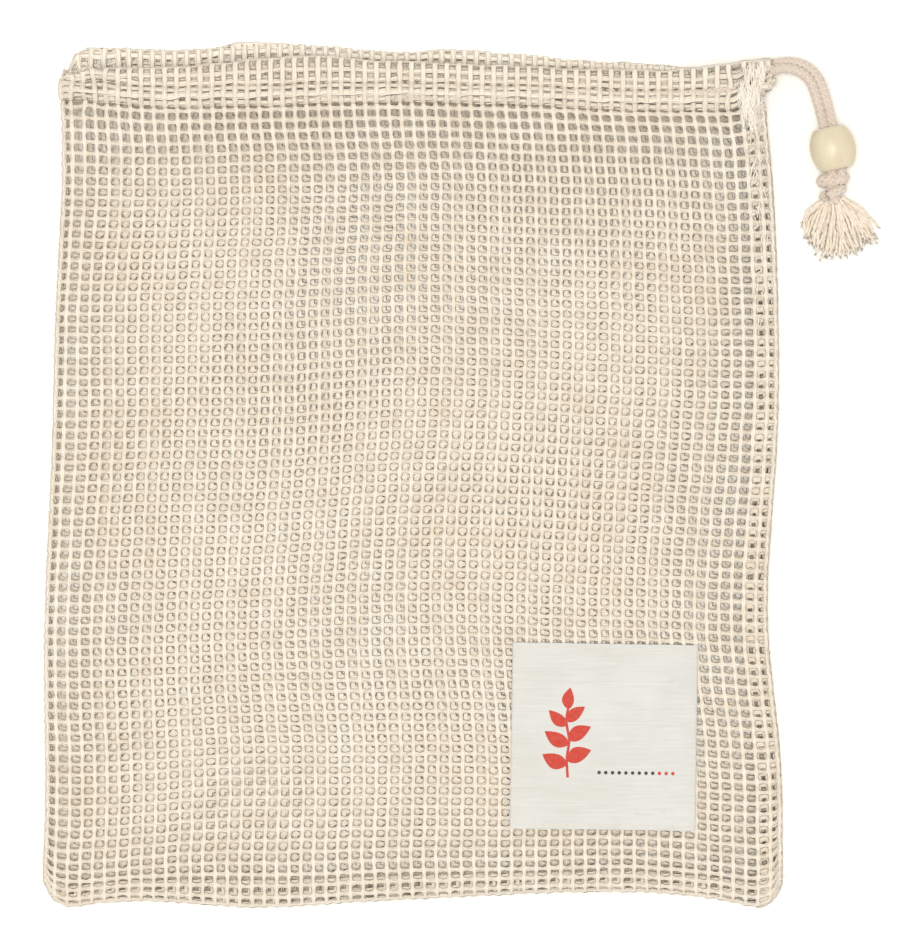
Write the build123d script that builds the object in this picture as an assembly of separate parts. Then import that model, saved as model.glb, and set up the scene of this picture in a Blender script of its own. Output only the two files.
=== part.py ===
"""Mesh produce bag, empty and laid flat, with its drawstring, wooden bead, knot and tassel.

Millimetres. +Z is up from the table, +Y points to the mouth and +X to the corner where the drawstring
comes out. The origin is the middle of the bag's own footprint, on the table.
One sheet of net is folded at the left and sewn at the right and along the bottom. Its top is turned down
all round to make a casing, and the drawstring runs through the casing: along the front, round the left
fold and back along the back, so that both of its ends come out at the right corner.
"""
from build123d import *
import math
import os

# Net, casing and mouth
NET = 1.2                     # one layer of net
EDGE = 1.6                    # net turned round at the fold and the seams
ALLOWANCE = 10.0              # seam allowance turned inside
ALLOWANCE_THICKNESS = 1.6
CORD_DIAMETER = 3.0
CHANNEL_HEIGHT = 3.5          # inside the casing, around the drawstring
CASING_WALL = 0.6
CASING_WIDTH = 6.4
MOUTH_GAP = 4.4               # between the front and the back casing
HEADER = 1.6                  # the double frill above the casing
THREAD = 0.5

# Heights above the table
PANEL_Z = 5.5                 # underside of the front, over most of the bag
CASING_HEIGHT = CHANNEL_HEIGHT + 2 * CASING_WALL
FRONT_Z = CASING_HEIGHT + MOUTH_GAP          # underside of the front at the mouth
FRONT_TOP = FRONT_Z + NET
CASING_TOP = FRONT_Z + CASING_HEIGHT
BACK_CORD_Z = CASING_HEIGHT / 2
FRONT_CORD_Z = FRONT_Z + CASING_HEIGHT / 2

# Places along the mouth
FRONT_CORD_Y = 132.7
BACK_CORD_Y = 138.0
CASING_LEFT = -110.0          # where the casing turns into the fold
CASING_RIGHT = 100.0          # where it opens into the corner that the cord comes out of
NET_TOP = FRONT_CORD_Y - CASING_WIDTH / 2
CASING_UPPER = BACK_CORD_Y + CASING_WIDTH / 2
RISE_START = 92.0             # between these the front climbs to the mouth
RISE_END = 126.0

# The bag's outline, as it lies
LEFT_EDGE = [(-122.4, NET_TOP), (-122.4, 100), (-124.4, 61), (-125.8, 12), (-127.4, -22),
             (-128.6, -57), (-128.2, -92), (-129.5, -140)]
LEFT_CORNER = (-126.6, -147.9)
BOTTOM_EDGE = [(-118.5, -150.6), (-91, -148.6), (-57, -151), (-22, -149.2), (14, -147.1),
               (66, -145), (100, -146.8), (119, -150.6)]
RIGHT_CORNER = (126.8, -148)
RIGHT_EDGE = [(129.4, -140), (129, -118), (127.9, -92), (124.2, -57), (123.6, -40), (126.9, 12),
              (127.6, 38), (126.9, 74), (125.3, 104), (121.8, NET_TOP)]
CORNER_PATCH = [(CASING_RIGHT, NET_TOP), (121.8, NET_TOP), (129.3, 138.6), (127, 147.4),
                (118, 145.2), (CASING_RIGHT, 142)]
FRONT_FRILL = [(CASING_RIGHT, 141.4), (60, 141.2), (20, 143), (-15, 144.4), (-42, 145.6),
               (-65, 143.4), (-90, 141.8), (CASING_LEFT, 142)]
BACK_FRILL = [(CASING_RIGHT, 142.2), (82, 143.8), (48, 146.2), (13, 148.9), (-5, 148.2),
              (-40, 151), (-65, 150.6), (-92, 148.6), (-112, 149), (-118.6, 146.2), (-121.2, 141.8)]

# The sewn-on label
LABEL_SIZE = 65.0
LABEL_THICKNESS = 0.6
LABEL_CENTRE = (67.0, -91.5)
LABEL_TURN = -0.9             # degrees
LABEL_STITCH_INSET = 1.2

# Wooden bead, threaded on both ends of the drawstring
BEAD_RADIUS = 7.95
BEAD_LENGTH = 15.0
BEAD_END_RADIUS = 5.2
BEAD_BORE_RADIUS = 3.4
BEAD_LEAN = 12.3              # degrees from +Y, its upper end to the left
BEAD_CENTRE = (146.9, 114.2, BEAD_RADIUS)

# The two free ends, from the casing's opening to the knot
FRONT_TAIL = [(124.5, 141.6, 8.4), (130.4, 142.8, 7.0), (136.5, 141, 6.5),
              (140.7, 135.8, BEAD_RADIUS), (147.4, 104.9, BEAD_RADIUS), (146.9, 101.7, 6.6)]
BACK_TAIL = [(124.5, 143.9, 4.0), (130.6, 145.4, 4.4), (138.3, 143.7, 5.2),
             (143.6, 137, BEAD_RADIUS), (150.4, 105.5, BEAD_RADIUS), (150, 102.3, 6.2)]
BEND_X = 108.0                # where each run leaves the line of its casing

KNOT_CENTRE = (147.2, 100.9, 4.8)
KNOT_SIZE = (11.0, 9.6, 9.6)
TASSEL_FAN = [(143.4, 98), (137.9, 88), (138.4, 82), (145.5, 75), (152, 74.3), (158, 78.5),
              (162.6, 86), (159, 91), (150.6, 97.5)]
TASSEL_THICKNESS = 4.5


def block(x0, x1, y0, y1, z0, z1):
    """A box between two corners."""
    middle = ((x0 + x1) / 2, (y0 + y1) / 2, (z0 + z1) / 2)
    return Pos(*middle) * Box(x1 - x0, y1 - y0, z1 - z0)


def raised(face, z0, z1):
    """A flat face made into a slab between two heights."""
    return Pos(0, 0, z0) * extrude(face, z1 - z0)


def bag_outline(inset=0.0):
    """The face inside the bag's outline, or inside a line that runs further in by inset."""
    def moved(points, dx, dy):
        return [(x + dx * inset, y + dy * inset) for x, y in points]

    left = moved(LEFT_EDGE, 1, 0)
    left[-1] = (left[-1][0], left[-1][1] + inset / 2)
    bottom = moved(BOTTOM_EDGE, 0, 1)
    bottom[0] = (bottom[0][0] + inset / 2, bottom[0][1])
    bottom[-1] = (bottom[-1][0] - inset / 2, bottom[-1][1])
    right = moved(RIGHT_EDGE, -1, 0)
    right[0] = (right[0][0], right[0][1] + inset / 2)
    left_corner = moved([LEFT_CORNER], 0.8, 0.8)[0]
    right_corner = moved([RIGHT_CORNER], -0.8, 0.8)[0]
    return make_face([Spline(*left), ThreePointArc(left[-1], left_corner, bottom[0]), Spline(*bottom),
                      ThreePointArc(bottom[-1], right_corner, right[0]), Spline(*right),
                      Line(right[-1], left[0])])


def zone(side):
    """The part of the plane that belongs to the left fold, the bottom seam or the side seam."""
    far, split = 200.0, 110.0
    spans = {"left": (-far, -split), "bottom": (-split, split), "right": (split, far)}
    x0, x1 = spans[side]
    y1 = 0.0 if side == "bottom" else NET_TOP
    return Pos((x0 + x1) / 2, (y1 - far) / 2) * Rectangle(x1 - x0, far + y1)


def arc_radii(points):
    """For each inner point of a route, the largest arc that its two runs leave room for."""
    radii = []
    for before, here, after in zip(points, points[1:], points[2:]):
        a, b = Vector(*here) - Vector(*before), Vector(*after) - Vector(*here)
        half_turn = math.radians(a.get_angle(b) / 2)
        radii.append(0.45 * min(a.length, b.length) / math.tan(half_turn))
    return radii


def cord(name, points):
    """A round cord along straight runs joined by tangent arcs."""
    radii = arc_radii(points)
    path = FilletPolyline(*points, radius=radii)
    start = Plane(origin=path @ 0, z_dir=path % 0)
    tube = sweep(start * Circle(CORD_DIAMETER / 2), path=path)
    expected = math.pi * CORD_DIAMETER**2 / 4 * path.length
    print(name, "length", round(path.length, 1), "radii", [round(r, 1) for r in radii],
          "volume share", round(tube.volume / expected, 4))
    return tube


def before_exit(tail):
    """A point inside the corner, in line with a free end's first run, so the two tubes meet squarely."""
    first, second = Vector(*tail[0]), Vector(*tail[1])
    back = first - (second - first)
    return (back.X, back.Y, back.Z)


def climbing_front(floor):
    """A slab across the whole bag, from the given height (or the front's underside) to the front's top."""
    far = 200.0
    climb = [(-far, PANEL_Z), (RISE_START, PANEL_Z), (RISE_END, FRONT_Z), (far, FRONT_Z)]

    def line(lift):
        a, b, c, d = [(y, z + lift) for y, z in climb]
        return [Line(a, b), Spline(b, c, tangents=[(1, 0), (1, 0)]), Line(c, d)]

    start, end = (-far, PANEL_Z + NET), (far, FRONT_Z + NET)
    if floor is None:
        under = line(0)
        ends = [Line(start, climb[0]), Line(climb[-1], end)]
    else:
        under = [Line((-far, floor), (far, floor))]
        ends = [Line(start, (-far, floor)), Line((far, floor), end)]
    profile = make_face([*line(NET), *under, *ends])
    return extrude(Plane.YZ.offset(-far) * profile, 2 * far)


def net_parts():
    """The two panels, the folded edge, and the two seams with their allowances inside."""
    outline = bag_outline()
    inner = bag_outline(EDGE)
    lip = outline - inner
    folded_in = inner - bag_outline(EDGE + ALLOWANCE)
    below_front = climbing_front(0)
    parts = {"left_fold": raised(lip & zone("left"), 0, FRONT_TOP) & below_front}
    strip = block(CASING_LEFT, CASING_RIGHT, NET_TOP, BACK_CORD_Y - CASING_WIDTH / 2, 0, NET)
    parts["back_panel"] = raised(inner, 0, NET) + strip
    parts["front_panel"] = raised(inner, 0, FRONT_TOP) & climbing_front(None)
    for name, side in (("bottom_seam", "bottom"), ("side_seam", "right")):
        edge = raised(lip & zone(side), 0, FRONT_TOP) & below_front
        allowance = raised(folded_in & zone(side), NET, NET + ALLOWANCE_THICKNESS)
        parts[name] = edge + allowance
    return parts


def seam_threads():
    """The line of stitches that closes the allowance of each seam."""
    inset = EDGE + ALLOWANCE * 0.7
    line = bag_outline(inset) - bag_outline(inset + THREAD)
    low = NET + ALLOWANCE_THICKNESS
    return {f"{name}_thread": raised(line & zone(side), low, low + THREAD)
            for name, side in (("bottom_seam", "bottom"), ("side_seam", "right"))}


def frill(upper_edge, base_y, z0):
    """The double edge that stands above a casing."""
    right, left = upper_edge[0], upper_edge[-1]
    sides = [Line(left, (left[0], base_y)), Line((left[0], base_y), (right[0], base_y)),
             Line((right[0], base_y), right)]
    return raised(make_face([Spline(*upper_edge), *sides]), z0, z0 + HEADER)


def casing(cord_y, z0, upper_edge, frill_z):
    """One flat tube of net for the drawstring, with the frill above it."""
    half = CASING_WIDTH / 2
    outside = block(CASING_LEFT, CASING_RIGHT, cord_y - half, cord_y + half, z0, z0 + CASING_HEIGHT)
    channel = block(CASING_LEFT - 1, CASING_RIGHT + 1, cord_y - half + CASING_WALL,
                    cord_y + half - CASING_WALL, z0 + CASING_WALL, z0 + CASING_WALL + CHANNEL_HEIGHT)
    return outside + frill(upper_edge, cord_y + half, frill_z) - channel


def casing_parts():
    """The casing's front and back, its turn round the left fold, and its open corner at the right."""
    front = casing(FRONT_CORD_Y, FRONT_Z, FRONT_FRILL, FRONT_Z + (CASING_HEIGHT - HEADER) / 2)
    back = casing(BACK_CORD_Y, 0, BACK_FRILL, 0)
    left = LEFT_EDGE[0][0]
    turn = block(left, CASING_LEFT, NET_TOP, CASING_UPPER, 0, CASING_TOP)
    turn -= block(left + EDGE, CASING_LEFT + 1, NET_TOP + CASING_WALL, CASING_UPPER - CASING_WALL,
                  CASING_WALL, CASING_TOP - CASING_WALL)
    patch = make_face(Polyline(*CORNER_PATCH, close=True))
    back_layer = raised(patch, 0, CASING_WALL)
    front_layer = raised(patch, CASING_TOP - CASING_WALL, CASING_TOP)
    wall = [CORNER_PATCH[5], CORNER_PATCH[4], CORNER_PATCH[3]]
    lowered = [(x, y - CASING_WALL) for x, y in reversed(wall)]
    upper_wall = raised(make_face(Polyline(*wall, *lowered, close=True)), 0, CASING_TOP)
    lower_wall = block(CASING_RIGHT, CORNER_PATCH[1][0], NET_TOP, NET_TOP + CASING_WALL, 0, CASING_TOP)
    return {"front_casing": front, "back_casing": back, "casing_turn": turn,
            "casing_corner": back_layer + front_layer + upper_wall + lower_wall}


def casing_threads():
    """The stitches that hold the casing's turned edge to each panel."""
    front_y = NET_TOP - 2 * THREAD
    back_y = BACK_CORD_Y - CASING_WIDTH / 2 - 2 * THREAD
    front = block(CASING_LEFT, CASING_RIGHT, front_y, front_y + THREAD, FRONT_TOP, FRONT_TOP + THREAD)
    back = block(CASING_LEFT, CASING_RIGHT, back_y, back_y + THREAD, NET, NET + THREAD)
    return {"front_casing_thread": front, "back_casing_thread": back}


def label_parts():
    """A square of ribbed cotton on the front, and the thread that holds it all round."""
    place = Pos(*LABEL_CENTRE) * Rot(0, 0, LABEL_TURN)
    low = PANEL_Z + NET
    top = low + LABEL_THICKNESS
    patch = raised(place * Rectangle(LABEL_SIZE, LABEL_SIZE), low, top)
    outer = LABEL_SIZE - 2 * LABEL_STITCH_INSET
    inner = outer - 2 * THREAD
    loop = place * Rectangle(outer, outer) - place * Rectangle(inner, inner)
    return {"label": patch, "label_thread": raised(loop, top, top + THREAD)}


def drawstring_parts():
    """One cord: a run in each casing, the bend round the left fold, and the two free ends."""
    front_start = (CASING_LEFT, FRONT_CORD_Y, FRONT_CORD_Z)
    back_start = (CASING_LEFT, BACK_CORD_Y, BACK_CORD_Z)
    front_run = [front_start, (BEND_X, FRONT_CORD_Y, FRONT_CORD_Z), before_exit(FRONT_TAIL), FRONT_TAIL[0]]
    back_run = [back_start, (BEND_X, BACK_CORD_Y, BACK_CORD_Z), before_exit(BACK_TAIL), BACK_TAIL[0]]
    a, b = Vector(*front_start), Vector(*back_start)
    bend_radius = (b - a).length / 2
    bend_path = ThreePointArc(a, (a + b) / 2 - Vector(bend_radius, 0, 0), b)
    bend = sweep(Plane(origin=a, z_dir=(-1, 0, 0)) * Circle(CORD_DIAMETER / 2), path=bend_path)
    print("drawstring_bend length", round(bend_path.length, 1), "radius", round(bend_radius, 1))
    return {"drawstring_front": cord("drawstring_front", front_run),
            "drawstring_back": cord("drawstring_back", back_run),
            "drawstring_bend": bend,
            "front_tail": cord("front_tail", FRONT_TAIL),
            "back_tail": cord("back_tail", BACK_TAIL)}


def bead():
    """A turned barrel bead with one bore for both ends of the drawstring."""
    half = BEAD_LENGTH / 2
    profile = [Line((BEAD_BORE_RADIUS, -half), (BEAD_END_RADIUS, -half)),
               ThreePointArc((BEAD_END_RADIUS, -half), (BEAD_RADIUS, 0), (BEAD_END_RADIUS, half)),
               Line((BEAD_END_RADIUS, half), (BEAD_BORE_RADIUS, half)),
               Line((BEAD_BORE_RADIUS, half), (BEAD_BORE_RADIUS, -half))]
    solid = revolve(Plane.XZ * make_face(profile), Axis.Z)
    lean = math.radians(BEAD_LEAN)
    return Plane(origin=BEAD_CENTRE, z_dir=(-math.sin(lean), math.cos(lean), 0)) * solid


def knot_and_tassel():
    """The knot that keeps the bead on, and the frayed yarns below it."""
    knot = Pos(*KNOT_CENTRE) * scale(Sphere(0.5), by=KNOT_SIZE)
    fan = make_face(Polyline(*TASSEL_FAN, close=True))
    return {"knot": knot, "tassel": raised(fan, 0, TASSEL_THICKNESS)}


def build():
    """Every piece, by node name."""
    parts = net_parts()
    for more in (seam_threads(), casing_parts(), casing_threads(), label_parts(), drawstring_parts()):
        parts.update(more)
    parts["bead"] = bead()
    parts.update(knot_and_tassel())
    return parts


os.makedirs("parts", exist_ok=True)
for node, shape in build().items():
    export_step(shape, f"parts/{node}.step")
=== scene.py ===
"""Looks of the mesh produce bag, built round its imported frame. Everything is in metres.

+Z is up from the table, +Y points to the mouth, +X to the corner that the drawstring comes out of.
"""
import bpy
import math
import numpy as np
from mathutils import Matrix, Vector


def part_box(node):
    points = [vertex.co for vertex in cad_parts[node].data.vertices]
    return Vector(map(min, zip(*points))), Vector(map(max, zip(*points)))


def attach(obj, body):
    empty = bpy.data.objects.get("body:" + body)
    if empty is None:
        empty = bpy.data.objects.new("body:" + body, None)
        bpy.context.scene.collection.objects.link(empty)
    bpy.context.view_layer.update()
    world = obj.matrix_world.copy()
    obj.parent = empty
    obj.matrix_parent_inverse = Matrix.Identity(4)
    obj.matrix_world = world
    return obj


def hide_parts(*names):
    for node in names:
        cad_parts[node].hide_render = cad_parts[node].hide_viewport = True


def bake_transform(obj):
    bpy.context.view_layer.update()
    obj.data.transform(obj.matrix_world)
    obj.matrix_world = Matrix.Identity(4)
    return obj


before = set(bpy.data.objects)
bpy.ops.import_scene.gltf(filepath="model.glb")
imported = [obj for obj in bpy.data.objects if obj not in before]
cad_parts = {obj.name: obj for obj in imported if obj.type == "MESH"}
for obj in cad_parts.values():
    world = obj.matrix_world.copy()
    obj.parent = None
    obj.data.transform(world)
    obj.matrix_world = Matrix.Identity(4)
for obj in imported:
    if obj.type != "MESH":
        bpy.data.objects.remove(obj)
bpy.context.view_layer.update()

MM = 0.001
X_AXIS, Y_AXIS, Z_AXIS = np.eye(3)
TINTS = np.random.default_rng(11)  # one draw for each yarn, in the order that they are made

# The picture's frame, at the height of the bag's front
VIEW_CENTRE = (0.0150, -0.0002)
VIEW_HEIGHT = 0.3322
VIEW_LEVEL = 0.010
CAMERA_HEIGHT = 1.4  # above that level
SENSOR = 36  # the camera's sensor, in mm

# Studio
DOME_COLOUR = (1.0, 0.985, 0.955, 1)
DOME_STRENGTH = 0.66
KEY_PLACE = np.array((-0.08, -0.08, 1.88))
KEY_SIZE = 0.80
KEY_POWER = 24
FLOOR_REACH = 3.0
FLOOR_DROP = 0.15 * MM  # the floor lies this far under the CAD's table

# The net: pillars run from the bottom to the mouth, cross yarns from side to side
PILLARS = 61
ROWS = 76
YARN_SIDES = 5
TABLE_GAP = 0.02 * MM  # no yarn comes nearer to the table than this
PILLAR_HALF = (1.00 * MM, 0.50 * MM)  # half width and half thickness
CROSS_HALF = (0.90 * MM, 0.42 * MM)
BACK_YARNS = 1.18  # how wide the back's yarns are beside the front's
HEM_WIDER = 1.15  # and the hem's, which is sewn through
HEM_FLATTER = 0.85
WRAP_REACH = 3.5 * MM  # how far in from an edge the cloth starts to turn down
WRAP_LENGTH = 6.3 * MM  # cloth in that quarter turn
SAG = 2.8 * MM  # how far the front sinks between its edges
BACK_LIFT = 0.9 * MM  # how far the back stands off the table between them

# The drawstring's two free ends, from the casing to the knot
CORD_DIAMETER = 3.0 * MM
BRAID_RADIUS = 1.70 * MM  # to the tops of its strands, uncompressed
BRAID_PITCH = 8.5 * MM  # along the cord, for one turn of a strand
BRAID_STRANDS = 4  # each way
CORD_STEP = 0.35 * MM
FRONT_TAIL = [(0.1245, 0.1416, 0.0084), (0.1304, 0.1428, 0.0070), (0.1365, 0.1410, 0.0065),
              (0.1407, 0.1358, 0.00795), (0.1474, 0.1049, 0.00795), (0.1469, 0.1017, 0.0066)]
BACK_TAIL = [(0.1245, 0.1439, 0.0040), (0.1306, 0.1454, 0.0044), (0.1383, 0.1437, 0.0052),
             (0.1436, 0.1370, 0.00795), (0.1504, 0.1055, 0.00795), (0.1500, 0.1023, 0.0062)]
FRONT_RUN = [(-0.110, 0.1327, 0.01145), (0.060, 0.1327, 0.01145), (0.108, 0.1327, 0.01145),
             (0.1186, 0.1404, 0.0098), (0.1245, 0.1416, 0.0084)]
BACK_RUN = [(-0.110, 0.1380, 0.00235), (0.060, 0.1380, 0.00235), (0.108, 0.1380, 0.00235),
            (0.1184, 0.1424, 0.0036), (0.1245, 0.1439, 0.0040)]

# Bead
BEAD_CENTRE = (0.1469, 0.1142, 0.00795)
BEAD_LEAN = math.radians(12.3)
BEAD_HALF_LENGTH = 7.5 * MM
BEAD_RADIUS = 7.95 * MM
BORE_RADIUS = 3.4 * MM

# Tassel: where its yarns leave the knot
TASSEL_ROOT = np.array((0.1477, 0.0968, 0.0036))
TASSEL_YARNS = 66

# The label's ribs, from one to the next
RIB = 1.0 * MM


# ---- lines and yarns

def smoothstep(x):
    """0 below 0, 1 above 1, smooth between."""
    t = np.clip(x, 0, 1)
    return t * t * (3 - 2 * t)


def inside(share, rate):
    """1 in the middle of a share of the way, 0 at its two ends."""
    return smoothstep(share * rate) * smoothstep((1 - share) * rate)


def unit(vectors):
    """Each row of an array made one long."""
    return vectors / np.maximum(np.linalg.norm(vectors, axis=-1, keepdims=True), 1e-12)


def distances(path):
    """How far along a path each of its points is."""
    return np.concatenate([[0], np.cumsum(np.linalg.norm(np.diff(path, axis=0), axis=1))])


def resample(path, step):
    """The same path with points a step apart."""
    along = distances(path)
    wanted = np.linspace(0, along[-1], max(3, int(round(along[-1] / step)) + 1))
    return np.stack([np.interp(wanted, along, path[:, k]) for k in range(3)], axis=1)


def spline_path(points, step):
    """Points along the smooth NURBS line that has these control points."""
    curve = bpy.data.curves.new("route", "CURVE")
    curve.dimensions = "3D"
    curve.resolution_u = 32
    spline = curve.splines.new("NURBS")
    spline.points.add(len(points) - 1)
    for target, point in zip(spline.points, points):
        target.co = (*point, 1)
    spline.order_u = 3
    spline.use_endpoint_u = True
    holder = bpy.data.objects.new("route", curve)
    mesh = bpy.data.meshes.new_from_object(holder)
    path = np.array([v.co[:] for v in mesh.vertices])
    bpy.data.objects.remove(holder)
    bpy.data.curves.remove(curve)
    bpy.data.meshes.remove(mesh)
    return resample(path, step)


def through(points, per_span):
    """A smooth line through points (Catmull-Rom)."""
    p = np.vstack([2 * points[0] - points[1], points, 2 * points[-1] - points[-2]])
    t = np.linspace(0, 1, per_span, endpoint=False)[:, None]
    spans = [0.5 * (2 * b + (c - a) * t + (2 * a - 5 * b + 4 * c - d) * t**2
                    + (3 * b - a - 3 * c + d) * t**3)
             for a, b, c, d in zip(p, p[1:], p[2:], p[3:])]
    return np.vstack([*spans, points[-1:]])


def carried_sides(path):
    """Tangents along a path, and side vectors that turn with it as little as they can."""
    tangents = unit(np.gradient(path, axis=0))
    helper = Z_AXIS if abs(tangents[0][2]) < 0.9 else X_AXIS
    side = np.cross(tangents[0], helper)
    sides = []
    for tangent in tangents:
        side = side - (side @ tangent) * tangent
        side = side / np.linalg.norm(side)
        sides.append(side)
    return tangents, np.array(sides)


def rings(path, side, half_width, half_height, corners):
    """The ring of corners round each point of a yarn's path."""
    tangents = unit(np.gradient(path, axis=0))
    side = np.broadcast_to(side, path.shape)
    side = unit(side - (side * tangents).sum(axis=1, keepdims=True) * tangents)
    normal = np.cross(tangents, side)
    angles = 2 * math.pi * np.arange(corners) / corners + math.pi / 2
    wide = np.broadcast_to(half_width, len(path))[:, None, None]
    high = np.broadcast_to(half_height, len(path))[:, None, None]
    return (path[:, None] + side[:, None] * np.cos(angles)[None, :, None] * wide
            + normal[:, None] * np.sin(angles)[None, :, None] * high)


def yarn_piece(name, yarns, material, corners, strips=False):
    """One mesh of closed tubes. Each yarn is (path, side vector, half width, half height).

    The map "yarn" holds a yarn's share round and its metres along. With strips, a second map
    gives each yarn a strip of its own, for baking.
    """
    vertices, faces, uvs, bake, tints = [], [], [], [], []
    base = 0
    ends = np.arange(corners)
    for index, (path, side, half_width, half_height) in enumerate(yarns):
        points = rings(path, side, half_width, half_height, corners)
        points[:, :, 2] = np.maximum(points[:, :, 2], TABLE_GAP)
        vertices.append(points)
        count = len(path)
        along = distances(path)
        r, k = np.meshgrid(np.arange(count - 1), ends, indexing="ij")
        r, k = r.ravel(), k.ravel()
        here, beside = r * corners + k, r * corners + (k + 1) % corners
        quads = base + np.stack([here, beside, beside + corners, here + corners], axis=1)
        faces.extend(quads.tolist())
        faces.append((base + ends[::-1]).tolist())
        faces.append((base + (count - 1) * corners + ends).tolist())
        u0, u1 = k / corners, (k + 1) / corners
        v0, v1 = along[r], along[r + 1]
        own = np.vstack([np.stack([u0, v0, u1, v0, u1, v1, u0, v1], axis=1).reshape(-1, 2),
                         np.stack([ends[::-1] / corners, np.zeros(corners)], axis=1),
                         np.stack([ends / corners, np.full(corners, along[-1])], axis=1)])
        uvs.append(own)
        bake.append(np.stack([(index + 0.06) / len(yarns) + 0.88 * own[:, 0] / len(yarns),
                              0.002 + 0.996 * own[:, 1] / along[-1]], axis=1))
        tints.append(np.full(count * corners, TINTS.random()))
        base += count * corners
    piece = mesh_piece(name, vertices, faces, material)
    mesh = piece.data
    mesh.uv_layers.new(name="yarn").data.foreach_set("uv", np.vstack(uvs).ravel())
    if strips:
        mesh.uv_layers.new(name="OFBake").data.foreach_set("uv", np.vstack(bake).ravel())
    mesh.attributes.new("tint", "FLOAT", "POINT").data.foreach_set("value", np.concatenate(tints))
    return piece


def mesh_piece(name, vertices, faces, material):
    """A smooth mesh as an object of the scene, from arrays of points and faces over all of them."""
    mesh = bpy.data.meshes.new(name)
    mesh.from_pydata(np.vstack([points.reshape(-1, 3) for points in vertices]).tolist(), [], faces)
    mesh.shade_smooth()
    mesh.materials.append(material)
    piece = bpy.data.objects.new(name, mesh)
    bpy.context.scene.collection.objects.link(piece)
    return piece


def finished(nodes):
    """Hide the CAD nodes that a piece stands for."""
    if nodes:
        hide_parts(*nodes)


def cloth(piece, slot, *nodes):
    """Cloth of the bag: its placement is baked into its mesh, and the CAD nodes that it stands for are
    hidden.
    """
    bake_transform(piece)
    finished(nodes)


def carried(piece, body, slot, *nodes):
    """A piece that moves as one with a body."""
    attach(piece, body)
    finished(nodes)


def ripple(seed, size, shortest, longest, count=7):
    """A smooth random height over the plane: a few plane waves."""
    own = np.random.default_rng(seed)
    lengths = np.exp(own.uniform(math.log(shortest), math.log(longest), count))
    angles = own.uniform(0, math.pi, count)
    phases = own.uniform(0, 2 * math.pi, count)

    def height(x, y):
        waves = (np.sin(2 * math.pi * (x * math.cos(angle) + y * math.sin(angle)) / length + phase)
                 for length, angle, phase in zip(lengths, angles, phases))
        return size * sum(waves) / math.sqrt(count / 2)
    return height


def ripples(seed, *sizes):
    """Two ripples of one kind, to move a thing across and along."""
    return ripple(seed, *sizes), ripple(seed + 1, *sizes)


# ---- materials

class Nodes:
    """A node material, written as short calls."""

    def __init__(self, name):
        self.material = bpy.data.materials.new(name)
        self.material.use_nodes = True
        self.tree = self.material.node_tree
        self.shader = self.tree.nodes["Principled BSDF"]

    def add(self, kind, values=None, **settings):
        node = self.tree.nodes.new(kind)
        for key, value in settings.items():
            setattr(node, key, value)
        for key, value in (values or {}).items():
            self.put(node.inputs[key], value)
        return node

    def put(self, socket, value):
        if isinstance(value, bpy.types.NodeSocket):
            self.tree.links.new(value, socket)
        else:
            socket.default_value = value

    def set(self, **values):
        for key, value in values.items():
            self.put(self.shader.inputs[key.replace("_", " ")], value)

    def math(self, operation, a, b=0.0, c=0.0):
        node = self.add("ShaderNodeMath", operation=operation)
        for socket, value in zip(node.inputs, (a, b, c)):
            self.put(socket, value)
        return node.outputs[0]

    def noise(self, vector, size, detail=3.0, rough=0.6):
        values = {"Vector": vector, "Scale": 1 / size, "Detail": detail, "Roughness": rough}
        return self.add("ShaderNodeTexNoise", values).outputs["Fac"]

    def spread(self, value, low, high, to_low=0.0, to_high=1.0):
        values = {"Value": value, "From Min": low, "From Max": high, "To Min": to_low,
                  "To Max": to_high}
        return self.add("ShaderNodeMapRange", values, clamp=True).outputs["Result"]

    def times(self, a, b):
        return self.math("MULTIPLY", a, b)

    def wavy(self, phase):
        """A sine that runs from 0 to 1."""
        return self.math("MULTIPLY_ADD", self.math("SINE", phase), 0.5, 0.5)

    def parts(self, vector):
        return self.add("ShaderNodeSeparateXYZ", {0: vector}).outputs

    def mix(self, factor, a, b):
        node = self.add("ShaderNodeMix", data_type="RGBA")
        for socket, value in ((node.inputs[0], factor), (node.inputs[6], a), (node.inputs[7], b)):
            self.put(socket, value)
        return node.outputs[2]

    def place(self):
        return self.add("ShaderNodeTexCoord").outputs["Object"]

    def stretched(self, vector, scale):
        return self.add("ShaderNodeVectorMath", {0: vector, 1: scale},
                        operation="MULTIPLY").outputs[0]

    def bump(self, height, distance):
        values = {"Height": height, "Distance": distance}
        self.put(self.shader.inputs["Normal"], self.add("ShaderNodeBump", values).outputs[0])


def rgb(red, green, blue):
    """A colour given in 0 to 255 screen values, as Blender's linear one."""
    linear = [(c / 255 / 12.92) if c <= 10 else ((c / 255 + 0.055) / 1.055) ** 2.4
              for c in (red, green, blue)]
    return (*linear, 1.0)


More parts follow.
